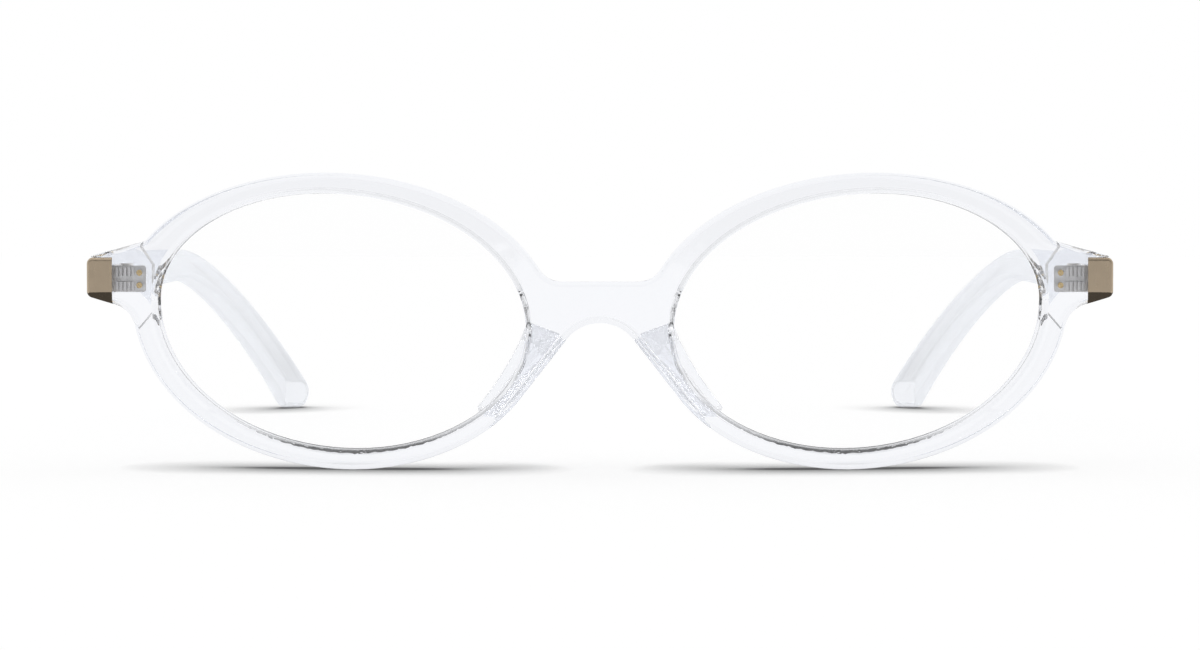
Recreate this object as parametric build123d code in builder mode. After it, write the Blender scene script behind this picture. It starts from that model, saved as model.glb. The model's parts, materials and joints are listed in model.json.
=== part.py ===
from build123d import *
import os
from math import atan2, cos, degrees, radians, sin, sqrt, tan

# Oval eyeglasses, open, standing on the rims and the temple tips.
# X runs across the face, Y back towards the ears, Z up. All lengths are in millimetres.
# The left pieces, on the wearer's left, are made at +X and mirrored to the right.
# While the pieces are made, y = 0 is the foremost point of the bridge.

# Whole frame
overall_depth = 142.8
rim_depth = 4.0
face_form_radius = 350.0
overrun = 30.0
bond_gap = 0.02

# Lens opening, as the outermost points of an eye shape made of quarter ellipses
opening_top_x = 37.53
opening_top_z = 37.02
opening_nasal_x = 9.90
opening_nasal_z = 18.73
opening_bottom_x = 32.85
opening_bottom_z = 2.68
opening_temporal_x = 59.75
opening_temporal_z = 22.75

# Rim widths at the same points, with the rim standing on z = 0, and the steps of the outside's ends
rim_top_width = 2.76
rim_top_shift = 0.67
rim_nasal_upper_width = 4.21
rim_nasal_lower_width = 2.61
rim_bottom_shift = 0.4
rim_temporal_upper_width = 4.85
rim_temporal_lower_width = 3.55
rim_edge_round = 0.7
opening_rear_round = 0.5
outer_rear_round = 0.3

# Bridge and nose notch
bridge_top_z = 25.22
bridge_blend_radius = 3.5
arch_top_z = 19.67
arch_radius = 5.6
nose_line_angle = 52.0
nose_line_foot_z = 9.37
nose_splay_angle = 16.0
nose_land = 0.3

# End piece, whose rear face is the butt joint of the temple
butt_y = 12.0
butt_gap = 0.05
end_piece_top_slope = 15.0
end_piece_top_z = 30.5
end_piece_top_x = 61.9
end_piece_bottom_z = 22.2
end_piece_bottom_slope = 16.0
end_piece_bottom_x = 66.3
end_piece_outer_x = 69.4
end_piece_under_radius = 4.0
end_piece_over_radius = 1.0
end_piece_corner_radius = 1.0
block_top_x = 63.4
block_top_z = 31.5
block_upper_z = 27.4
block_inner_x = 60.6
block_lower_z = 21.0
block_foot_x = 63.6
block_foot_z = 17.5

# Corner plaque, bent round the front corner of the end piece
plaque_inner_x = 66.0
plaque_top_z = 28.4
plaque_thickness = 0.9
plaque_crease_z = 23.7
plaque_crease_depth = 0.6
plaque_corner_bend = 0.5
plaque_proud = 0.15
plaque_corner_radius = 0.9
plaque_pin_diameter = 0.8
plaque_pin_length = 1.8
plaque_pin_spacing = 2.6

# Lenses
lens_base_radius = 150.0
lens_thickness = 2.0
lens_bevel = 0.7
lens_seat_depth = 1.05
lens_gap = 0.06

# Nose pads: at the rim, and at their rear edge, which leans outwards
pad_length_y = 5.2
pad_embed_y = 0.8
pad_rim_lean = 0.9
pad_rim_foot_z = 6.9
pad_rim_nose_top_z = 18.4
pad_rim_outer_top_z = 20.4
pad_rim_setback = 0.2
pad_rear_lean = 3.6
pad_rear_foot_z = 7.6
pad_rear_nose_top_z = 16.6
pad_rear_outer_top_z = 17.2
pad_rear_end_overlap = 0.8
pad_rear_middle_overlap = 1.9
pad_edge_round = 0.35

# Hinge
hinge_axis_x = 64.35
barrel_radius = 1.25
barrel_gap = 0.03
hinge_bottom_z = 23.85
outer_barrel_height = 1.18
middle_barrel_height = 0.74
leaf_running_gap = 0.1
leaf_thickness = 0.7
leaf_bottom_z = 23.65
leaf_height = 3.6
leaf_corner_radius = 0.4
front_leaf_inner_x = 61.5
front_leaf_outer_x = 66.2
anchor_depth = 1.2
anchor_groove_depth = 0.8
anchor_groove_width = 0.2
anchor_rib_width = 0.36
anchor_groove_count = 4
temple_leaf_length = 9.0
screw_radius = 0.5
screw_gap = 0.03
screw_head_radius = 0.95
screw_head_height = 0.5
screw_slot_width = 0.25
screw_slot_depth = 0.25
rivet_radius = 0.4
rivet_head_radius = 0.65
rivet_head_height = 0.2
front_rivet_length = 3.0
front_rivet_x = 62.3
front_rivet_spacing = 1.7
temple_rivet_length = 2.6
temple_rivet_start = 3.2
temple_rivet_spacing = 3.4

# Temples
temple_inner_x = 66.0
temple_outer_x = 69.4
temple_bend_y = 77.0
temple_bend_inner_x = 66.4
temple_bend_outer_x = 70.3
temple_end_inner_x = 50.6
temple_end_outer_x = 55.4
temple_top_z = 28.9
temple_bottom_z = 22.9
temple_drop_y = 82.0
temple_drop_bottom_z = 24.0
temple_tip_radius = 2.8
temple_edge_round = 1.2

# Places that follow from the sizes
lens_middle_x = (opening_nasal_x + opening_temporal_x) / 2
lens_middle_z = (opening_top_z + opening_bottom_z) / 2
rim_top_x = opening_top_x - rim_top_shift
rim_top_z = opening_top_z + rim_top_width
rim_nasal_upper_x = opening_nasal_x - rim_nasal_upper_width
rim_nasal_lower_x = opening_nasal_x - rim_nasal_lower_width
rim_bottom_x = opening_bottom_x + rim_bottom_shift
rim_temporal_upper_x = opening_temporal_x + rim_temporal_upper_width
rim_temporal_lower_x = opening_temporal_x + rim_temporal_lower_width
nose_line_share = cos(radians(nose_line_angle)) / sin(radians(nose_line_angle))
arch_middle_z = arch_top_z - arch_radius
arch_end_x = arch_radius * sin(radians(nose_line_angle))
arch_end_z = arch_middle_z + arch_radius * cos(radians(nose_line_angle))
plaque_outer_x = end_piece_outer_x + plaque_proud
hinge_axis_y = butt_y + leaf_running_gap + barrel_radius
middle_barrel_z = hinge_bottom_z + outer_barrel_height + barrel_gap
upper_barrel_z = middle_barrel_z + middle_barrel_height + barrel_gap
hinge_top_z = upper_barrel_z + outer_barrel_height
leaf_middle_z = leaf_bottom_z + leaf_height / 2
tip_y = overall_depth - temple_tip_radius


def front_surface_y(x):
    """How far the front surface lies behind the foremost point of the bridge at x."""
    return face_form_radius - sqrt(face_form_radius**2 - x**2)


def end_top_z(x):
    """Height of the end piece's sloping top edge at x."""
    return end_piece_top_z - (x - end_piece_top_x) * tan(radians(end_piece_top_slope))


def end_bottom_z(x):
    """Height of the end piece's sloping bottom edge at x."""
    return end_piece_bottom_z + (x - end_piece_bottom_x) * tan(radians(end_piece_bottom_slope))


def nose_line_x(z):
    """Half width between the straight sides of the nose notch at height z."""
    return arch_end_x + (arch_end_z - z) * nose_line_share


def opening_edge_x(z):
    """Where the nasal edge of the lens opening lies at height z."""
    if z > opening_nasal_z:
        rise_share = (z - opening_nasal_z) / (opening_top_z - opening_nasal_z)
        return opening_top_x - (opening_top_x - opening_nasal_x) * sqrt(1 - rise_share**2)
    drop_share = (opening_nasal_z - z) / (opening_nasal_z - opening_bottom_z)
    return opening_bottom_x - (opening_bottom_x - opening_nasal_x) * sqrt(1 - drop_share**2)


def eye_quarter(corner_x, corner_z, reach_x, reach_z, start_angle):
    """A quarter ellipse of an eye shape round (corner_x, corner_z), starting at start_angle."""
    EllipticalCenterArc(
        center=(corner_x, corner_z),
        x_radius=reach_x,
        y_radius=reach_z,
        start_angle=start_angle,
        arc_size=90,
    )


def opening_line(grow):
    """The lens opening's outline, made larger by grow all round."""
    up = opening_top_z + grow
    down = opening_bottom_z - grow
    nasal = opening_nasal_x - grow
    temporal = opening_temporal_x + grow
    eye_quarter(opening_top_x, opening_temporal_z, temporal - opening_top_x, up - opening_temporal_z, 0)
    eye_quarter(opening_top_x, opening_nasal_z, opening_top_x - nasal, up - opening_nasal_z, 90)
    eye_quarter(opening_bottom_x, opening_nasal_z, opening_bottom_x - nasal, opening_nasal_z - down, 180)
    eye_quarter(
        opening_bottom_x, opening_temporal_z, temporal - opening_bottom_x, opening_temporal_z - down, 270
    )


def rim_line():
    """The rim's outer outline. Its two steps lie inside the bridge and the end piece."""
    reach_up = rim_top_z - opening_temporal_z
    eye_quarter(rim_top_x, opening_temporal_z, rim_temporal_upper_x - rim_top_x, reach_up, 0)
    eye_quarter(rim_top_x, opening_nasal_z, rim_top_x - rim_nasal_upper_x, rim_top_z - opening_nasal_z, 90)
    Line((rim_nasal_upper_x, opening_nasal_z), (rim_nasal_lower_x, opening_nasal_z))
    eye_quarter(rim_bottom_x, opening_nasal_z, rim_bottom_x - rim_nasal_lower_x, opening_nasal_z, 180)
    reach_out = rim_temporal_lower_x - rim_bottom_x
    eye_quarter(rim_bottom_x, opening_temporal_z, reach_out, opening_temporal_z, 270)
    Line((rim_temporal_lower_x, opening_temporal_z), (rim_temporal_upper_x, opening_temporal_z))


def lens_blank(grow, depth_gap):
    """A lens with a V edge, made larger by grow in outline and by depth_gap on both faces."""
    apex_y = front_surface_y(lens_middle_x) + rim_depth / 2 - lens_thickness / 2 - lens_seat_depth
    turn = degrees(atan2(lens_middle_x, face_form_radius))
    middle = Vector(lens_middle_x, apex_y, lens_middle_z)
    to_centre = Vector(0, 1, 0).rotate(Axis.Z, turn)
    centre = middle + to_centre * lens_base_radius
    with BuildPart() as blank:
        with BuildSketch(Plane.XZ):
            with BuildLine():
                opening_line(lens_bevel + grow)
            make_face()
        extrude(amount=overrun, both=True)
        with Locations(centre):
            Sphere(lens_base_radius + depth_gap, mode=Mode.INTERSECT)
            Sphere(lens_base_radius - lens_thickness - depth_gap, mode=Mode.SUBTRACT)
        rim_edges = blank.edges().filter_by(lambda edge: edge.geom_type != GeomType.LINE)
        chamfer(rim_edges, lens_bevel)
    return blank


def plaque_shell(gap):
    """The L that wraps the corner. A gap above zero makes its seat, which is open to the outside."""
    outer = overrun if gap else 0
    with BuildPart() as shell:
        with BuildSketch(Plane.XZ.offset(overrun)) as view:
            with BuildLine():
                Polyline(
                    (plaque_inner_x - gap, plaque_top_z + gap),
                    (plaque_outer_x + outer, plaque_top_z + gap),
                    (plaque_outer_x + outer, end_bottom_z(plaque_outer_x) - outer),
                    (plaque_inner_x - gap, end_bottom_z(plaque_inner_x) - outer),
                    close=True,
                )
            make_face()
            if not gap:
                fillet(view.vertices().sort_by(Axis.X)[-2:], plaque_corner_radius)
        extrude(amount=-overrun - butt_y)
        with Locations((0, face_form_radius, 0)):
            Cylinder(face_form_radius + plaque_proud + outer, 4 * overrun, mode=Mode.INTERSECT)
        with BuildSketch(Plane.XY):
            with Locations((0, face_form_radius)):
                Circle(face_form_radius + plaque_proud - plaque_thickness - gap)
            with Locations((plaque_outer_x - plaque_thickness - gap, 0)):
                Rectangle(4 * overrun, 4 * overrun, align=(Align.MAX, Align.CENTER), mode=Mode.INTERSECT)
        extrude(amount=2 * overrun, mode=Mode.SUBTRACT)
    return shell


def plaque_pins(gap):
    """The two pins behind the plaque's front leg, or their holes when gap is above zero."""
    middle_x = (plaque_inner_x + plaque_outer_x - plaque_thickness) / 2
    middle_z = (plaque_top_z + end_bottom_z(middle_x)) / 2
    start_y = front_surface_y(middle_x) + plaque_thickness / 2
    with BuildPart() as pins:
        with BuildSketch(Plane.XZ.offset(-start_y)):
            with Locations(
                (middle_x, middle_z - plaque_pin_spacing / 2), (middle_x, middle_z + plaque_pin_spacing / 2)
            ):
                Circle(plaque_pin_diameter / 2 + gap)
        extrude(amount=-plaque_pin_length - gap)
    return pins


def front_leaf_plate(gap):
    """The flat plate of the front leaf, let into the rear face of the end piece."""
    leaf_width = front_leaf_outer_x - front_leaf_inner_x
    with BuildPart() as plate:
        with BuildSketch(Plane.XZ.offset(-butt_y)):
            with Locations(((front_leaf_inner_x + front_leaf_outer_x) / 2, leaf_middle_z)):
                RectangleRounded(leaf_width + 2 * gap, leaf_height + 2 * gap, leaf_corner_radius)
        extrude(amount=leaf_thickness + gap)
    return plate


def leaf_anchors(gap):
    """The two ribbed blocks in front of the front leaf, or their pockets when gap is above zero."""
    front_y = butt_y - leaf_thickness - anchor_depth
    with BuildPart() as anchors:
        with BuildSketch(Plane.XZ.offset(-butt_y)):
            for base_z in (hinge_bottom_z, upper_barrel_z):
                with Locations((hinge_axis_x, base_z + outer_barrel_height / 2)):
                    Rectangle(2 * (barrel_radius + gap), outer_barrel_height + 2 * gap)
        extrude(amount=leaf_thickness + anchor_depth + gap)
        if not gap:
            with BuildSketch(Plane.XZ.offset(-front_y)):
                with Locations((hinge_axis_x, leaf_middle_z)):
                    with GridLocations(anchor_groove_width + anchor_rib_width, 0, anchor_groove_count, 1):
                        Rectangle(anchor_groove_width, leaf_height)
            extrude(amount=-anchor_groove_depth, mode=Mode.SUBTRACT)
    return anchors


def front_rivet_disc(radius):
    """A sketch of both front rivets' cross sections at the rear face of the front leaf."""
    with BuildSketch(Plane.XZ.offset(-butt_y)) as discs:
        with Locations((front_rivet_x, leaf_middle_z)):
            with GridLocations(0, front_rivet_spacing, 1, 2):
                Circle(radius)
    return discs.sketch


def front_rivet_shanks(gap):
    """The shanks of the front leaf's two rivets, or their holes when gap is above zero."""
    with BuildPart() as shanks:
        extrude(front_rivet_disc(rivet_radius + gap), amount=leaf_thickness + front_rivet_length + gap)
    return shanks


def temple_leaf_plate(gap):
    """The flat plate of the temple leaf, let into the inner face of the temple."""
    with BuildPart() as plate:
        with BuildSketch(Plane.YZ.offset(temple_inner_x)):
            with Locations((hinge_axis_y - gap, leaf_middle_z)):
                Rectangle(
                    temple_leaf_length + 2 * gap, leaf_height + 2 * gap, align=(Align.MIN, Align.CENTER)
                )
        extrude(amount=leaf_thickness + gap)
    return plate


def temple_rivet_shanks(gap):
    """The shanks of the temple leaf's two rivets, or their holes when gap is above zero."""
    first_y = hinge_axis_y + temple_rivet_start
    with BuildPart() as shanks:
        with BuildSketch(Plane.YZ.offset(temple_inner_x)):
            with Locations((first_y, leaf_middle_z), (first_y + temple_rivet_spacing, leaf_middle_z)):
                Circle(rivet_radius + gap)
        extrude(amount=leaf_thickness + temple_rivet_length + gap)
    return shanks


def on_axis(base_z, radius, height, mode=Mode.ADD):
    """A round piece or bore on the hinge axis, from base_z upwards."""
    with Locations((hinge_axis_x, hinge_axis_y, base_z)):
        Cylinder(radius, height, align=(Align.CENTER, Align.CENTER, Align.MIN), mode=mode)


def pad_section(plane_y, lean, foot_z, nose_top_z, outer_top_z, end_overlap, middle_overlap):
    """A section of the nose pad, from its straight nose side to its bowed outer side."""
    middle_z = (foot_z + outer_top_z) / 2
    nose_top = (nose_line_x(nose_top_z) + lean, nose_top_z)
    nose_foot = (nose_line_x(foot_z) + lean, foot_z)
    outer_top = (opening_edge_x(outer_top_z) + end_overlap, outer_top_z)
    outer_middle = (opening_edge_x(middle_z) + middle_overlap, middle_z)
    outer_foot = (opening_edge_x(foot_z) + end_overlap, foot_z)
    with BuildSketch(Plane.XZ.offset(-plane_y)) as section:
        with BuildLine():
            Line(nose_foot, nose_top)
            Line(nose_top, outer_top)
            ThreePointArc(outer_top, outer_middle, outer_foot)
            Line(outer_foot, nose_foot)
        make_face()
    return section.sketch


def arc_to_tip(start, slope, side):
    """End of an arc that leaves start at an upward slope, and meets the round tip on the given side."""
    normal = Vector(sin(slope), -cos(slope))
    tip = Vector(tip_y, temple_tip_radius)
    reach = tip - Vector(start)
    radius = (reach.dot(reach) - temple_tip_radius**2) / (2 * (reach.dot(normal) - side * temple_tip_radius))
    centre = Vector(start) + normal * radius
    return centre + (tip - centre).normalized() * radius


def save(solid, name):
    """Write one piece, moved so that the origin is below the middle of the whole frame."""
    placed = solid.moved(Location((0, -overall_depth / 2, 0)))
    placed.label = name
    export_step(placed, f"parts/{name}.step")


def save_pair(piece, name):
    """Write the left piece and its mirror image."""
    save(piece.part, f"{name}_left")
    save(mirror(piece.part, about=Plane.YZ), f"{name}_right")


os.makedirs("parts", exist_ok=True)

# Nose notch: an arch with two straight sides, widening to the rear
notch_foot = (nose_line_x(-overrun), -overrun)
with BuildPart() as notch:
    with BuildSketch(Plane.XZ.offset(-rim_edge_round - nose_land)):
        with BuildLine():
            Line(notch_foot, (arch_end_x, arch_end_z))
            ThreePointArc((arch_end_x, arch_end_z), (0, arch_top_z), (-arch_end_x, arch_end_z))
            Line((-arch_end_x, arch_end_z), (-notch_foot[0], notch_foot[1]))
            Line((-notch_foot[0], notch_foot[1]), notch_foot)
        make_face()
    extrude(amount=-overrun / 2, taper=-nose_splay_angle)

# Hollow behind the rims, round the end pieces' hinge blocks, which keep their full depth
with BuildPart() as rear_hollow:
    with BuildSketch(Plane.XY.offset(-overrun)):
        with Locations((0, face_form_radius)):
            Circle(face_form_radius - rim_depth)
        with Locations((0, butt_y)):
            Rectangle(6 * overrun, 2 * butt_y, mode=Mode.INTERSECT)
    extrude(amount=3 * overrun)
    with BuildSketch(Plane.XZ.offset(overrun)):
        with BuildLine():
            Polyline(
                (end_piece_outer_x + overrun, block_top_z),
                (block_top_x, block_top_z),
                (block_inner_x, block_upper_z),
                (block_inner_x, block_lower_z),
                (block_foot_x, block_foot_z),
                (end_piece_outer_x + overrun, block_foot_z),
                close=True,
            )
        make_face()
        mirror(about=Plane.YZ)
    extrude(amount=-3 * overrun, mode=Mode.SUBTRACT)

# Front: rims, bridge and end pieces in one outline, bent to the face form
with BuildPart() as front:
    with BuildSketch(Plane.XZ.offset(overrun)) as outline:
        with BuildLine():
            rim_line()
        make_face()
        with BuildLine():
            Polyline(
                (lens_middle_x, end_top_z(lens_middle_x)),
                (end_piece_outer_x, end_top_z(end_piece_outer_x)),
                (end_piece_outer_x, end_bottom_z(end_piece_outer_x)),
                (lens_middle_x, end_bottom_z(lens_middle_x)),
                close=True,
            )
        make_face()
        with BuildLine():
            Line((0, arch_top_z), (0, bridge_top_z))
            Line((0, bridge_top_z), (lens_middle_x, bridge_top_z))
            Line((lens_middle_x, bridge_top_z), (lens_middle_x, nose_line_foot_z))
            Line((lens_middle_x, nose_line_foot_z), (nose_line_x(nose_line_foot_z), nose_line_foot_z))
            Line((nose_line_x(nose_line_foot_z), nose_line_foot_z), (arch_end_x, arch_end_z))
            CenterArc((0, arch_middle_z), arch_radius, 90 - nose_line_angle, nose_line_angle)
        make_face()
        with BuildLine():
            opening_line(0)
        make_face(mode=Mode.SUBTRACT)
        joint_rounds = (
            ((end_piece_top_x, end_piece_top_z), end_piece_over_radius),
            ((rim_temporal_lower_x, end_piece_bottom_z), end_piece_under_radius),
            ((end_piece_outer_x, end_piece_top_z), end_piece_corner_radius),
            ((end_piece_outer_x, end_piece_bottom_z), end_piece_corner_radius),
            ((rim_nasal_lower_x, bridge_top_z), bridge_blend_radius),
        )
        for (x, z), radius in joint_rounds:
            fillet(outline.vertices().sort_by_distance((x, z))[0], radius)
        mirror(about=Plane.YZ)
    extrude(amount=-overrun - butt_y)
    with Locations((0, face_form_radius, 0)):
        Cylinder(face_form_radius, 4 * overrun, mode=Mode.INTERSECT)
    add(rear_hollow.part, mode=Mode.SUBTRACT)
    add(notch.part, mode=Mode.SUBTRACT)
    # Rounded edges: all of the front surface, then the rear of the openings and of the rims
    curved_faces = front.faces().filter_by(GeomType.CYLINDER).sort_by(SortBy.AREA)
    fillet(curved_faces[-1].edges(), rim_edge_round)
    rear_face = front.faces().filter_by(GeomType.CYLINDER).sort_by(SortBy.AREA)[-1]
    fillet([edge for wire in rear_face.inner_wires() for edge in wire.edges()], opening_rear_round)
    rear_face = front.faces().filter_by(GeomType.CYLINDER).sort_by(SortBy.AREA)[-1]
    pad_foot_x = opening_edge_x(pad_rim_foot_z)
    rim_edges = rear_face.outer_wire().edges().filter_by(
        lambda edge: abs(edge.center().X) < block_inner_x - bond_gap
        and (edge.center().Z > bridge_top_z - outer_rear_round or abs(edge.center().X) > pad_foot_x)
    )
    fillet(rim_edges, outer_rear_round)
    # Grooves for the lenses, and seats for the plaques, the front leaves and their pins and rivets
    for seat in (
        lens_blank(lens_gap, lens_gap),
        plaque_shell(bond_gap),
        plaque_pins(bond_gap),
        front_leaf_plate(bond_gap),
        leaf_anchors(bond_gap),
        front_rivet_shanks(bond_gap),
    ):
        add(seat.part, mode=Mode.SUBTRACT)
        add(mirror(seat.part, about=Plane.YZ, mode=Mode.PRIVATE), mode=Mode.SUBTRACT)
save(front.part, "front")

# Lenses
save_pair(lens_blank(0, 0), "lens")

# Nose pads: a loft from the rear of the rim to the pad's rear edge
rim_section = pad_section(
    rim_depth - pad_embed_y,
    pad_rim_lean,
    pad_rim_foot_z,
    pad_rim_nose_top_z,
    pad_rim_outer_top_z,
    -pad_rim_setback,
    -pad_rim_setback,
)
rear_section = pad_section(
    rim_depth + pad_length_y,
    pad_rear_lean,
    pad_rear_foot_z,
    pad_rear_nose_top_z,
    pad_rear_outer_top_z,
    pad_rear_end_overlap,
    pad_rear_middle_overlap,
)
with BuildPart() as pad:
    loft([rim_section, rear_section])
    rim_side = pad.faces().sort_by(Axis.Y)[0]
    fillet(pad.edges() - rim_side.edges(), pad_edge_round)
    with Locations((0, face_form_radius, 0)):
        Cylinder(face_form_radius - rim_depth - bond_gap, 4 * overrun, mode=Mode.INTERSECT)
save_pair(pad, "nose_pad")

# Corner plaques: the L with a bevel below its crease, and two pins
with BuildPart() as plaque:
    add(plaque_shell(0).part)
    corner_edge = plaque.edges().filter_by(Axis.Z).sort_by(Axis.Y).group_by(Axis.X)[-1].sort_by(Axis.Y)[0]
    fillet(corner_edge, plaque_corner_bend)
    crease_height = plaque_crease_z - end_bottom_z(plaque_inner_x)
    lean = atan2(plaque_inner_x, face_form_radius)
    crease_plane = Plane(
        origin=(plaque_inner_x, front_surface_y(plaque_inner_x) - plaque_proud, 0),
        x_dir=(-sin(lean), cos(lean), 0),
        z_dir=(cos(lean), sin(lean), 0),
    )
    with BuildSketch(crease_plane):
        with BuildLine():
            Polyline(
                (0, plaque_crease_z),
                (2 * plaque_crease_depth, plaque_crease_z - 2 * crease_height),
                (-crease_height, plaque_crease_z - 2 * crease_height),
                (-crease_height, plaque_crease_z),
                close=True,
            )
        make_face()
    extrude(amount=overrun, both=True, mode=Mode.SUBTRACT)
    add(plaque_pins(0).part)
save_pair(plaque, "corner_plaque")

# Front leaves: the plate, its ribbed blocks and the two outer barrels on their webs
with BuildPart() as front_leaf:
    add(front_leaf_plate(0).part)
    add(leaf_anchors(0).part)
    for base_z in (hinge_bottom_z, upper_barrel_z):
        on_axis(base_z, barrel_radius, outer_barrel_height)
        with BuildSketch(Plane.XY.offset(base_z)):
            with Locations((hinge_axis_x, butt_y)):
                Rectangle(2 * barrel_radius, hinge_axis_y - butt_y, align=(Align.CENTER, Align.MIN))
        extrude(amount=outer_barrel_height)
    on_axis(hinge_bottom_z, screw_radius + screw_gap, hinge_top_z - hinge_bottom_z, Mode.SUBTRACT)
    add(front_rivet_shanks(bond_gap).part, mode=Mode.SUBTRACT)
save_pair(front_leaf, "hinge_front_leaf")

# Front rivets: two shanks, each with a head behind the plate
with BuildPart() as front_rivets:
    add(front_rivet_shanks(0).part)
    extrude(front_rivet_disc(rivet_head_radius), amount=-rivet_head_height)
save_pair(front_rivets, "front_rivets")

# Temple leaves: the plate and the middle barrel on its web
with BuildPart() as temple_leaf:
    add(temple_leaf_plate(0).part)
    on_axis(middle_barrel_z, barrel_radius, middle_barrel_height)
    with BuildSketch(Plane.XY.offset(middle_barrel_z)):
        with Locations((hinge_axis_x, hinge_axis_y)):
            Rectangle(
                temple_inner_x + leaf_thickness - hinge_axis_x, barrel_radius, align=(Align.MIN, Align.MIN)
            )
    extrude(amount=middle_barrel_height)
    on_axis(hinge_bottom_z, screw_radius + screw_gap, hinge_top_z - hinge_bottom_z, Mode.SUBTRACT)
    add(temple_rivet_shanks(bond_gap).part, mode=Mode.SUBTRACT)
save_pair(temple_leaf, "hinge_temple_leaf")

# Temple rivets: two shanks with heads on the inner face of the leaf
with BuildPart() as temple_rivets:
    add(temple_rivet_shanks(0).part)
    first_rivet_y = hinge_axis_y + temple_rivet_start
    with BuildSketch(Plane.YZ.offset(temple_inner_x)):
        with Locations((first_rivet_y, leaf_middle_z), (first_rivet_y + temple_rivet_spacing, leaf_middle_z)):
            Circle(rivet_head_radius)
    extrude(amount=-rivet_head_height)
save_pair(temple_rivets, "temple_rivets")

# Hinge screws: a slotted head on a plain shank
with BuildPart() as screw:
    on_axis(hinge_bottom_z, screw_radius, hinge_top_z - hinge_bottom_z)
    on_axis(hinge_top_z, screw_head_radius, screw_head_height)
    with BuildSketch(Plane.XY.offset(hinge_top_z + screw_head_height)):
        with Locations((hinge_axis_x, hinge_axis_y)):
            Rectangle(2 * screw_head_radius + screw_slot_width, screw_slot_width)
    extrude(amount=-screw_slot_depth, mode=Mode.SUBTRACT)
save_pair(screw, "hinge_screw")

# Temples: a side shape with a round, turned-down end, cut to the plan of the temple
with BuildPart() as temple:
    start_y = butt_y + butt_gap
    top_bend = (temple_drop_y, temple_top_z)
    low_bend = (temple_drop_y, temple_drop_bottom_z)
    low_slope = atan2(temple_drop_bottom_z - temple_bottom_z, temple_drop_y - start_y)
    top_end = arc_to_tip(top_bend, 0, 1)
    low_end = arc_to_tip(low_bend, low_slope, -1)
    with BuildSketch(Plane.YZ):
        with BuildLine():
            top_line = Line((start_y, temple_top_z), top_bend)
            top_arc = TangentArc(top_bend, top_end, tangent=top_line % 1)
            tip_arc = TangentArc(top_end, low_end, tangent=top_arc % 1)
            TangentArc(low_end, low_bend, tangent=tip_arc % 1)
            Line(low_bend, (start_y, temple_bottom_z))
            Line((start_y, temple_bottom_z), (start_y, temple_top_z))
        make_face()
    extrude(amount=4 * overrun)
    plan_end_y = overall_depth + temple_tip_radius
    with BuildSketch(Plane.XY):
        with BuildLine():
            inner_line = Line((temple_inner_x, start_y), (temple_bend_inner_x, temple_bend_y))
            TangentArc(
                (temple_bend_inner_x, temple_bend_y), (temple_end_inner_x, plan_end_y), tangent=inner_line % 1
            )
            Line((temple_end_inner_x, plan_end_y), (temple_end_outer_x, plan_end_y))
            outer_line = Line((temple_outer_x, start_y), (temple_bend_outer_x, temple_bend_y))
            TangentArc(
                (temple_bend_outer_x, temple_bend_y), (temple_end_outer_x, plan_end_y), tangent=outer_line % 1
            )
            Line((temple_outer_x, start_y), (temple_inner_x, start_y))
        make_face()
    extrude(amount=2 * overrun, mode=Mode.INTERSECT)
    long_edges = temple.edges().filter_by(Axis.X, reverse=True).filter_by(Axis.Z, reverse=True)
    fillet(long_edges, temple_edge_round)
    add(temple_leaf_plate(bond_gap).part, mode=Mode.SUBTRACT)
    add(temple_rivet_shanks(bond_gap).part, mode=Mode.SUBTRACT)
save_pair(temple, "temple")
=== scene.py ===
import json
from math import atan, radians

import bpy
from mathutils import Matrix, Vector


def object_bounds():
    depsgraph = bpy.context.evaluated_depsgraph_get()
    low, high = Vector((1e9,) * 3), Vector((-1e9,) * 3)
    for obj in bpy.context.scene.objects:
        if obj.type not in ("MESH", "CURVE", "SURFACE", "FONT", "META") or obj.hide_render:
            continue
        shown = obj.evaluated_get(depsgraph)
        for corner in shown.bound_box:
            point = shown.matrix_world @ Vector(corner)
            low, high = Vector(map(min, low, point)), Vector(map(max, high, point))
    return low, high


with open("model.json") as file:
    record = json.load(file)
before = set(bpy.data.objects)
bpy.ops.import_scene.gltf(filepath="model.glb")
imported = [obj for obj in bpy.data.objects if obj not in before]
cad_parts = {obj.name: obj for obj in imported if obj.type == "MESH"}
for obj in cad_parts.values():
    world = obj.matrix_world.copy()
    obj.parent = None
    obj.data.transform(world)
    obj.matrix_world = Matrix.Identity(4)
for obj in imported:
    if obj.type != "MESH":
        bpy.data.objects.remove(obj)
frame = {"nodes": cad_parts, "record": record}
cad_low, cad_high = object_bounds()

# Clear oval eyeglasses, seen from the front. All lengths are in metres.

# Camera, from the perspective of the photograph
camera_distance = 0.4694
camera_height = 0.0325
camera_clip_factor = 100
photo_width = 1200
photo_focal_pixels = 2990
photo_middle_row = 325
photo_horizon_row = 227
sensor_width = 36.0

# Clear plastic. A veil is the tint, and the share, of light that goes straight through unbent.
white = (1.0, 1.0, 1.0, 1.0)
clear_index = 1.49
plastic_tint = (0.93, 0.94, 0.969, 1.0)
plastic_roughness = (0.0, 0.05)
pad_veil = (0.95, 0.957, 0.975, 1.0)
pad_veil_share = 0.5
temple_veil = (0.925, 0.936, 0.958, 1.0)
temple_veil_share = 0.8
temple_roughness = (0.05, 0.15)
wave_scale = 160.0
wave_bump = 0.12
wave_height = 0.0002
wipe_scale = 2600.0
wipe_stretch = (1.0, 1.0, 0.12)

# Lenses. The sheen is how much of the film shows, face on and at a flat angle.
lens_index = 1.5
lens_film_colour = (0.9, 0.92, 0.94, 1.0)
lens_film_scale = 900.0
lens_roughness = (0.02, 0.12)
lens_sheen = (0.004, 0.5)
lens_sheen_power = 3.0

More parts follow.
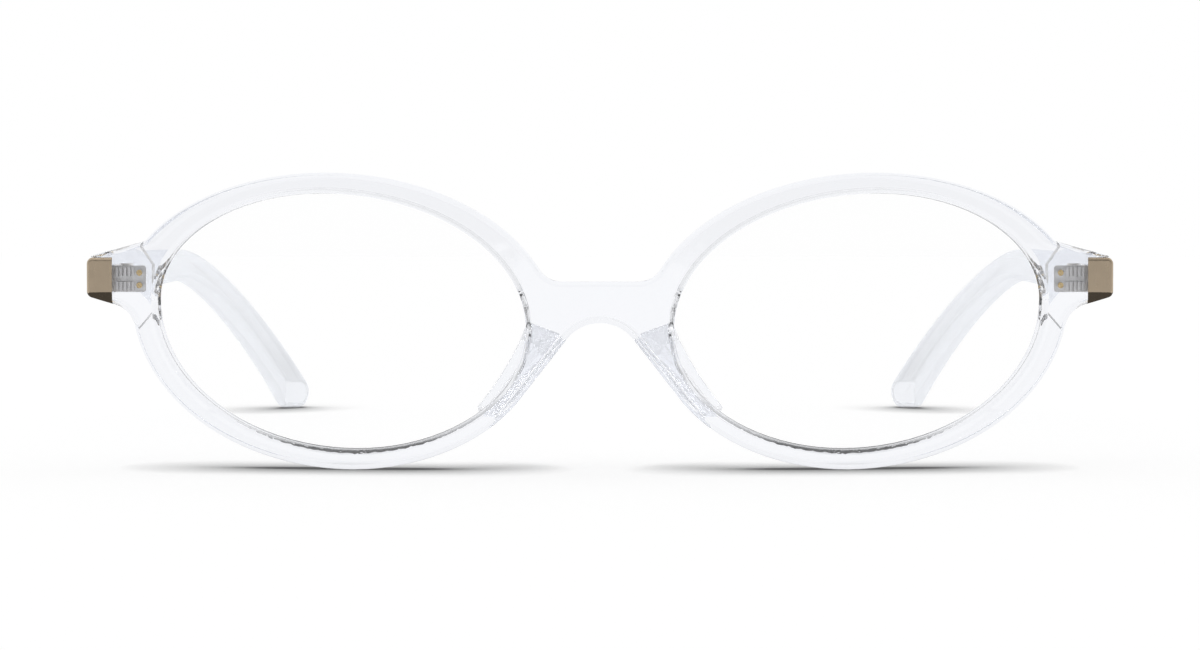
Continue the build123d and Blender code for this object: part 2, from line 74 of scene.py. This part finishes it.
# Metals. Faces that look down are darkened with painted shade: they keep only a share of their colour.
plaque_finish = {
    "colour": (0.56, 0.455, 0.335, 1.0),
    "roughness": (0.24, 0.4),
    "grain_scale": 2500.0,
    "grain_stretch": (1.0, 1.0, 0.08),
    "grain_bump": 0.25,
    # The share of the plaque's colour that painted shade leaves on faces that look down
    "painted_shade_share": 0.12,
}
hinge_finish = {
    "colour": (0.95, 0.93, 0.90, 1.0),
    "roughness": (0.35, 0.5),
    "grain_scale": 2500.0,
    "grain_stretch": (1.0, 1.0, 0.15),
    "grain_bump": 0.2,
}
brass_finish = {
    "colour": (0.78, 0.57, 0.25, 1.0),
    "roughness": (0.15, 0.35),
    "grain_scale": 3000.0,
    "grain_stretch": (1.0, 1.0, 1.0),
    "grain_bump": 0.2,
}
grain_height = 0.00002
blotch_scale = 700.0
blotch_shade = 0.86
# Painted shade on metal faces that look down: full at the first normal height, gone at the second
painted_shade_start = -0.25
painted_shade_end = -0.1

# Light. A studio stop is a place from 0, the camera's side, to 1, the back, and the level there.
studio_stops = ((0.1, 0.3), (0.5, 0.8), (0.85, 1.0))
sun_aim = (0.3, 0.5, -1.0)
sun_strength = 0.3
sun_spread_degrees = 60
light_bounces = 32

# Floor. The last four values shape a painted contact shadow, the dark line where a piece stands on it.
floor_widths = 40
floor_colour = 0.5
floor_glow = 0.598
fibre_scale = 3000.0
fibre_bump = 0.1
fibre_height = 0.00005
painted_shadow_reach = 0.012
painted_shadow_samples = 16
painted_shadow_start = 0.4
painted_shadow_depth = 0.15


class Shader:
    """A material's node tree, with short calls that make and link nodes."""

    def __init__(self, name):
        self.material = bpy.data.materials.new(name)
        self.material.use_nodes = True
        self.tree = self.material.node_tree
        self.tree.nodes.clear()
        self.output = self.tree.nodes.new("ShaderNodeOutputMaterial")

    def add(self, kind, inputs=None, **settings):
        """Make a node; inputs are values, or sockets to link."""
        node = self.tree.nodes.new(kind)
        for key, value in settings.items():
            setattr(node, key, value)
        for key, value in (inputs or {}).items():
            if isinstance(value, bpy.types.NodeSocket):
                self.tree.links.new(value, node.inputs[key])
            else:
                node.inputs[key].default_value = value
        return node

    def maths(self, operation, first, second):
        return self.add("ShaderNodeMath", {0: first, 1: second}, operation=operation).outputs[0]

    def scaled(self, colour, share):
        return self.add("ShaderNodeVectorMath", {0: colour, "Scale": share}, operation="SCALE").outputs[0]

    def noise(self, scale, detail=2.0, roughness=0.5, stretch=(1, 1, 1)):
        """Noise in object space, with features of about 1 / scale metres."""
        place = self.add("ShaderNodeTexCoord").outputs["Object"]
        mapping = self.add("ShaderNodeMapping", {"Vector": place, "Scale": stretch})
        inputs = {"Vector": mapping.outputs[0], "Scale": scale, "Detail": detail, "Roughness": roughness}
        return self.add("ShaderNodeTexNoise", inputs).outputs["Fac"]

    def spread(self, value, low, high, source_low=0.3, source_high=0.7):
        """Map a value to the range from low to high. The source's defaults suit noise."""
        inputs = {
            "Value": value,
            "From Min": source_low,
            "From Max": source_high,
            "To Min": low,
            "To Max": high,
        }
        return self.add("ShaderNodeMapRange", inputs).outputs[0]

    def bump(self, height, strength, distance):
        inputs = {"Height": height, "Strength": strength, "Distance": distance}
        return self.add("ShaderNodeBump", inputs).outputs[0]

    def finish(self, surface):
        self.tree.links.new(surface.outputs[0], self.output.inputs["Surface"])
        return self.material


def acetate(name, tint, roughness, veil=white, veil_share=0.0):
    """Clear acetate with slight waves and fine wipe marks, under a veil if it has a share."""
    shader = Shader(name)
    waves = shader.noise(wave_scale, detail=1.0)
    wipes = shader.noise(wipe_scale, detail=3.0, roughness=0.6, stretch=wipe_stretch)
    surface = shader.add(
        "ShaderNodeBsdfPrincipled",
        {
            "Base Color": tint,
            "Roughness": shader.spread(wipes, *roughness),
            "IOR": clear_index,
            "Transmission Weight": 1.0,
            "Normal": shader.bump(waves, wave_bump, wave_height),
        },
    )
    if veil_share:
        straight = shader.add("ShaderNodeBsdfTransparent", {"Color": veil})
        inputs = {0: veil_share, 1: surface.outputs[0], 2: straight.outputs[0]}
        surface = shader.add("ShaderNodeMixShader", inputs)
    return shader.finish(surface)


def clear_lens():
    """A demonstration lens, see-through with a thin sheen that grows at a flat angle."""
    shader = Shader("clear_lens_plastic")
    film = shader.noise(lens_film_scale, detail=4.0, roughness=0.6)
    facing = shader.add("ShaderNodeLayerWeight").outputs["Facing"]
    flatness = shader.maths("POWER", facing, lens_sheen_power)
    surface = shader.add(
        "ShaderNodeBsdfPrincipled",
        {
            "Base Color": lens_film_colour,
            "Roughness": shader.spread(film, *lens_roughness),
            "IOR": lens_index,
            "Alpha": shader.spread(flatness, *lens_sheen, source_low=0.0, source_high=1.0),
        },
    )
    return shader.finish(surface)


def metal(name, colour, roughness, grain_scale, grain_stretch, grain_bump, painted_shade_share=1.0):
    """Metal with a stretched grain and faint blotches, and painted shade on faces that look down if asked.
    """
    shader = Shader(name)
    grain = shader.noise(grain_scale, detail=3.0, roughness=0.6, stretch=grain_stretch)
    darker = tuple(blotch_shade * channel for channel in colour[:3]) + (1.0,)
    inputs = {"Factor": shader.noise(blotch_scale), "A": darker, "B": colour}
    base = shader.add("ShaderNodeMix", inputs, data_type="RGBA").outputs["Result"]
    # Painted shade: faces that look down are darkened, in place of the dark they would reflect
    if painted_shade_share < 1.0:
        facing = shader.add("ShaderNodeTexCoord").outputs["Normal"]
        upward = shader.add("ShaderNodeSeparateXYZ", {"Vector": facing}).outputs["Z"]
        share = shader.spread(upward, painted_shade_share, 1.0, source_low=painted_shade_start, source_high=painted_shade_end)
        base = shader.scaled(base, share)
    surface = shader.add(
        "ShaderNodeBsdfPrincipled",
        {
            "Base Color": base,
            "Metallic": 1.0,
            "Roughness": shader.spread(grain, *roughness),
            "Normal": shader.bump(grain, grain_bump, grain_height),
        },
    )
    return shader.finish(surface)


def floor_material():
    """White paper with its real shadow and a painted contact shadow. It glows to the camera, in mirrors and
    through clear pieces.
    """
    shader = Shader("studio_floor")
    path = shader.add("ShaderNodeLightPath").outputs
    shown = path["Is Camera Ray"]
    for name in ("Is Glossy Ray", "Is Transmission Ray"):
        shown = shader.maths("MAXIMUM", shown, path[name])
    fibre = shader.noise(fibre_scale, detail=3.0)
    # Painted contact shadow: ambient occlusion darkens the paper and its glow near the pieces
    contact = shader.add("ShaderNodeAmbientOcclusion", {"Distance": painted_shadow_reach}, samples=painted_shadow_samples)
    open_share = contact.outputs["AO"]
    light_share = shader.spread(open_share, painted_shadow_depth, 1.0, source_low=painted_shadow_start, source_high=1.0)
    paper = shader.add(
        "ShaderNodeBsdfDiffuse",
        {
            "Color": shader.scaled((floor_colour, floor_colour, floor_colour), light_share),
            "Normal": shader.bump(fibre, fibre_bump, fibre_height),
        },
    )
    strength = shader.maths("MULTIPLY", shader.maths("MULTIPLY", shown, light_share), floor_glow)
    glow = shader.add("ShaderNodeEmission", {"Strength": strength})
    both = shader.add("ShaderNodeAddShader", {0: paper.outputs[0], 1: glow.outputs[0]})
    return shader.finish(both)


def studio_world():
    """A soft white studio: the wall behind is white, and it dims towards the sides and the camera."""
    world = bpy.data.worlds.new("studio")
    bpy.context.scene.world = world
    world.use_nodes = True
    tree = world.node_tree
    background = tree.nodes["Background"]
    background.inputs["Color"].default_value = white
    place = tree.nodes.new("ShaderNodeTexCoord")
    split = tree.nodes.new("ShaderNodeSeparateXYZ")
    ramp = tree.nodes.new("ShaderNodeValToRGB")
    to_share = tree.nodes.new("ShaderNodeMapRange")
    to_share.inputs["From Min"].default_value = -1.0
    tree.links.new(place.outputs["Generated"], split.inputs[0])
    tree.links.new(split.outputs["Y"], to_share.inputs["Value"])
    tree.links.new(to_share.outputs[0], ramp.inputs[0])
    tree.links.new(ramp.outputs[0], background.inputs["Strength"])
    ramp.color_ramp.interpolation = "EASE"
    for place_share, level in studio_stops:
        stop = ramp.color_ramp.elements.new(place_share)
        stop.color = (level, level, level, 1.0)
    # The ramp's own first and last stops aren't wanted
    ramp.color_ramp.elements.remove(ramp.color_ramp.elements[0])
    ramp.color_ramp.elements.remove(ramp.color_ramp.elements[-1])


def add_floor():
    """A wide floor under the glasses."""
    width = 2 * cad_high.x
    bpy.ops.mesh.primitive_plane_add(size=floor_widths * width, location=(0, 0, cad_low.z))
    floor = bpy.context.object
    floor.name = "floor"
    floor.data.materials.append(floor_material())


def add_camera():
    """The photograph's camera: in front, a little above, aimed slightly down."""
    data = bpy.data.cameras.new("camera")
    data.sensor_width = sensor_width
    data.lens = sensor_width * photo_focal_pixels / photo_width
    data.clip_start = camera_distance / camera_clip_factor
    data.clip_end = camera_distance * camera_clip_factor
    camera = bpy.data.objects.new("camera", data)
    camera.location = (0, -camera_distance, camera_height)
    down = atan((photo_middle_row - photo_horizon_row) / photo_focal_pixels)
    camera.rotation_euler = (radians(90) - down, 0, 0)
    bpy.context.scene.collection.objects.link(camera)
    bpy.context.scene.camera = camera


def add_sun():
    """A far, wide lamp that lights the floor as evenly as the glasses."""
    data = bpy.data.lights.new("key_light", "SUN")
    data.energy = sun_strength
    data.angle = radians(sun_spread_degrees)
    sun = bpy.data.objects.new("key_light", data)
    sun.rotation_euler = Vector(sun_aim).to_track_quat("-Z", "Y").to_euler()
    bpy.context.scene.collection.objects.link(sun)


by_slot = {
    "clear_plastic": acetate("clear_acetate", plastic_tint, plastic_roughness),
    "clear_lens": clear_lens(),
    "plaque_metal": metal("plaque_metal_finish", **plaque_finish),
    "hinge_metal": metal("hinge_metal_finish", **hinge_finish),
    "rivet_brass": metal("rivet_brass_finish", **brass_finish),
}
for entry in frame["record"]["subparts"]:
    piece = frame["nodes"][entry["node"]]
    piece.material_slots[0].material = by_slot[entry["material_slot"]]
pad_finish = acetate("pad_acetate", plastic_tint, plastic_roughness, pad_veil, pad_veil_share)
temple_finish = acetate("temple_acetate", white, temple_roughness, temple_veil, temple_veil_share)
for side in ("left", "right"):
    frame["nodes"]["nose_pad_" + side].material_slots[0].material = pad_finish
    frame["nodes"]["temple_" + side].material_slots[0].material = temple_finish

add_floor()
studio_world()
add_camera()
add_sun()

bpy.context.scene.view_settings.view_transform = "Standard"
bpy.context.scene.cycles.max_bounces = light_bounces
bpy.context.scene.cycles.transmission_bounces = light_bounces
